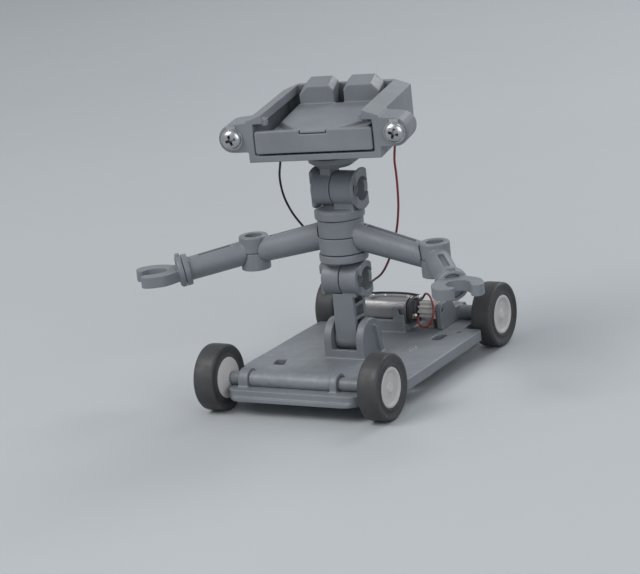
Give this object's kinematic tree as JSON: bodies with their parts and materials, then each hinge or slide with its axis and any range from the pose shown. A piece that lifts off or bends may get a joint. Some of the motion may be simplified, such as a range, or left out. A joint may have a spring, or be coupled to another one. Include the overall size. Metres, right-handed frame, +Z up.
{
  "type": "toy robot on a wheeled chassis",
  "caption": "Jointed toy robot with claw hands and a fuel-cell head, standing on a four-wheeled chassis driven by a small geared motor.",
  "frame": {"origin": "on the floor, midway between the two axles and between the left and right wheels", "axes": "+Z up, -Y the way the chassis and its deck nose point, +X towards the robot's left hand"},
  "size_m": [0.1454, 0.114, 0.1084],
  "materials": {
    "grey_plastic": "moulded, slightly rough",
    "rubber": "matt",
    "hub_plastic": "satin",
    "steel": "drawn",
    "chrome": "polished",
    "motor_steel": "bright plated",
    "dark_plastic": "satin",
    "brass": "tinned",
    "magnesium": "dull",
    "pad_felt": "felt",
    "cathode_sheet": "matt carbon",
    "gear_plastic": "satin",
    "wire_black": "pvc",
    "wire_red": "pvc"
  },
  "bodies": {
    "chassis": {"chassis_deck": "grey_plastic", "front_axle_sleeve": "grey_plastic", "rear_axle_sleeve": "grey_plastic", "gear_bracket": "grey_plastic", "waist_pin": "steel", "motor_can": "motor_steel", "motor_end_cap": "dark_plastic", "motor_terminal_top": "brass", "motor_terminal_front": "brass", "wire_black": "wire_black", "wire_red": "wire_red"},
    "front_wheels": {"front_axle": "steel", "rim_front_right": "hub_plastic", "rim_front_left": "hub_plastic", "tyre_front_right": "rubber", "tyre_front_left": "rubber"},
    "rear_wheels": {"rear_axle": "steel", "axle_gear": "gear_plastic", "rim_rear_right": "hub_plastic", "rim_rear_left": "hub_plastic", "tyre_rear_right": "rubber", "tyre_rear_left": "rubber"},
    "double_gear": {"double_gear": "gear_plastic"},
    "motor_rotor": {"motor_shaft": "steel", "motor_pinion": "gear_plastic"},
    "column": {"column": "grey_plastic", "belly_pin": "dark_plastic"},
    "torso": {"torso": "grey_plastic", "neck_base": "grey_plastic", "neck_pin": "dark_plastic"},
    "upper_arm_right": {"upper_arm_right": "grey_plastic", "elbow_pin_right": "dark_plastic"},
    "upper_arm_left": {"upper_arm_left": "grey_plastic", "elbow_pin_left": "dark_plastic"},
    "forearm_right": {"forearm_right": "grey_plastic"},
    "forearm_left": {"forearm_left": "grey_plastic"},
    "hand_right": {"hand_right": "grey_plastic"},
    "hand_left": {"hand_left": "grey_plastic"},
    "neck_yoke": {"neck_yoke": "grey_plastic"},
    "cell_cover": {"cell_cover": "grey_plastic"},
    "head": {"head_housing": "grey_plastic", "air_cathode": "cathode_sheet", "terminal_tab_right": "steel", "terminal_tab_left": "steel", "terminal_screw_right": "chrome", "terminal_screw_left": "chrome"},
    "drawer": {"drawer": "grey_plastic", "magnesium_plate": "magnesium", "absorbent_pad": "pad_felt"}
  },
  "joints": [
    {"name": "front_axle_spin", "type": "hinge", "parent": "chassis", "child": "front_wheels", "pos_m": [0, -0.045, 0.012], "axis": [1, 0, 0], "continuous": true},
    {"name": "rear_axle_spin", "type": "hinge", "parent": "chassis", "child": "rear_wheels", "pos_m": [0, 0.045, 0.012], "axis": [1, 0, 0], "continuous": true},
    {"name": "double_gear_spin", "type": "hinge", "parent": "chassis", "child": "double_gear", "pos_m": [0.0125, 0.03687, 0.01277], "axis": [1, 0, 0], "continuous": true},
    {"name": "motor_spin", "type": "hinge", "parent": "chassis", "child": "motor_rotor", "pos_m": [0.012, 0.03, 0.0172], "axis": [1, 0, 0], "continuous": true},
    {"name": "waist_tilt", "type": "hinge", "parent": "chassis", "child": "column", "pos_m": [0, -0.0042, 0.0164], "axis": [1, 0, 0], "range_deg": [-15, 20], "deforming": ["wire_black", "wire_red"]},
    {"name": "belly_tilt", "type": "hinge", "parent": "column", "child": "torso", "pos_m": [0, -0.0045, 0.0387], "axis": [-1, 0, 0], "range_deg": [-25, 25], "deforming": ["wire_black", "wire_red"]},
    {"name": "shoulder_right_swing", "type": "hinge", "parent": "torso", "child": "upper_arm_right", "pos_m": [0, -0.0045, 0.0519], "axis": [0, 0, 1], "range_deg": [-40, 60]},
    {"name": "shoulder_left_swing", "type": "hinge", "parent": "torso", "child": "upper_arm_left", "pos_m": [0, -0.0045, 0.0583], "axis": [0, 0, 1], "range_deg": [-60, 40]},
    {"name": "elbow_right_bend", "type": "hinge", "parent": "upper_arm_right", "child": "forearm_right", "pos_m": [-0.0372, -0.0045, 0.0475], "axis": [0, 0, 1], "range_deg": [-45, 43]},
    {"name": "elbow_left_bend", "type": "hinge", "parent": "upper_arm_left", "child": "forearm_left", "pos_m": [0.0372, -0.0045, 0.0475], "axis": [0, 0, 1], "range_deg": [-28, 60]},
    {"name": "wrist_right_roll", "type": "hinge", "parent": "forearm_right", "child": "hand_right", "pos_m": [-0.05855, -0.02059, 0.04374], "axis": [-0.7909, -0.596, -0.1392], "range_deg": [-90, 90]},
    {"name": "wrist_left_roll", "type": "hinge", "parent": "forearm_left", "child": "hand_left", "pos_m": [0.05372, -0.02564, 0.04444], "axis": [0.6117, -0.7829, -0.1132], "range_deg": [-90, 90]},
    {"name": "neck_tilt", "type": "hinge", "parent": "torso", "child": "neck_yoke", "pos_m": [0, -0.0045, 0.0722], "axis": [1, 0, 0], "range_deg": [-25, 25], "deforming": ["wire_black", "wire_red"]},
    {"name": "head_turn", "type": "hinge", "parent": "neck_yoke", "child": "head", "pos_m": [0, -0.0045, 0.084], "axis": [0, 0, 1], "range_deg": [-89, 61], "deforming": ["wire_black", "wire_red"]},
    {"name": "cover_lift", "type": "slide", "parent": "head", "child": "cell_cover", "axis": [0, 0, 1], "range_m": [0, 0.014]},
    {"name": "drawer_slide", "type": "slide", "parent": "head", "child": "drawer", "axis": [0.2419, -0.9703, 0], "range_m": [0, 0.03]}
  ],
  "couplings": [
    {"joint": "double_gear_spin", "follows": "rear_axle_spin", "ratio": -1.8},
    {"joint": "motor_spin", "follows": "rear_axle_spin", "ratio": 3.24}
  ]
}
